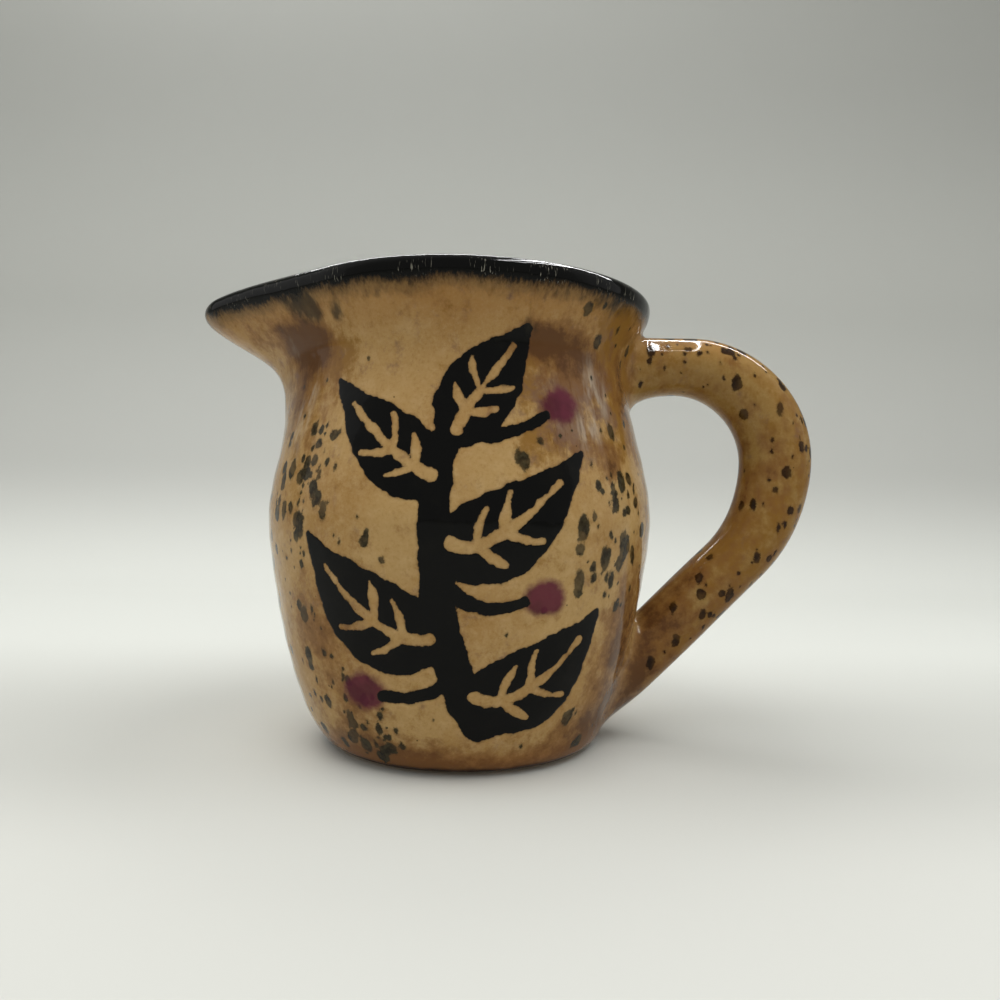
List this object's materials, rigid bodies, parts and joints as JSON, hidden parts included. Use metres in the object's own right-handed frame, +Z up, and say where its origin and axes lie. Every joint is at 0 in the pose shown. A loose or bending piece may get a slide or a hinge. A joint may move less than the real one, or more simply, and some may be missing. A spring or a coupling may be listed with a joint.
{
  "type": "ceramic creamer jug",
  "caption": "Small glazed clay creamer with a rounded belly, flared rim, drawn pouring spout and a thick loop handle luted to the neck and the lower flank.",
  "frame": {"origin": "centre of the flat foot, on the surface that the jug stands on", "axes": "+Z up along the body's axis, -X towards the spout, +X towards the handle"},
  "size_m": [0.1276, 0.0786, 0.09],
  "materials": {
    "clay": "fired, bare",
    "slip": "fired slip under glaze",
    "tan_glaze": "gloss",
    "black_glaze": "gloss"
  },
  "bodies": {
    "root": {"body": "clay", "handle": "clay", "upper_slip_joint": "slip", "lower_slip_joint": "slip", "outer_glaze": "tan_glaze", "handle_glaze": "tan_glaze", "rim_glaze": "black_glaze", "liner_glaze": "tan_glaze"}
  },
  "joints": []
}
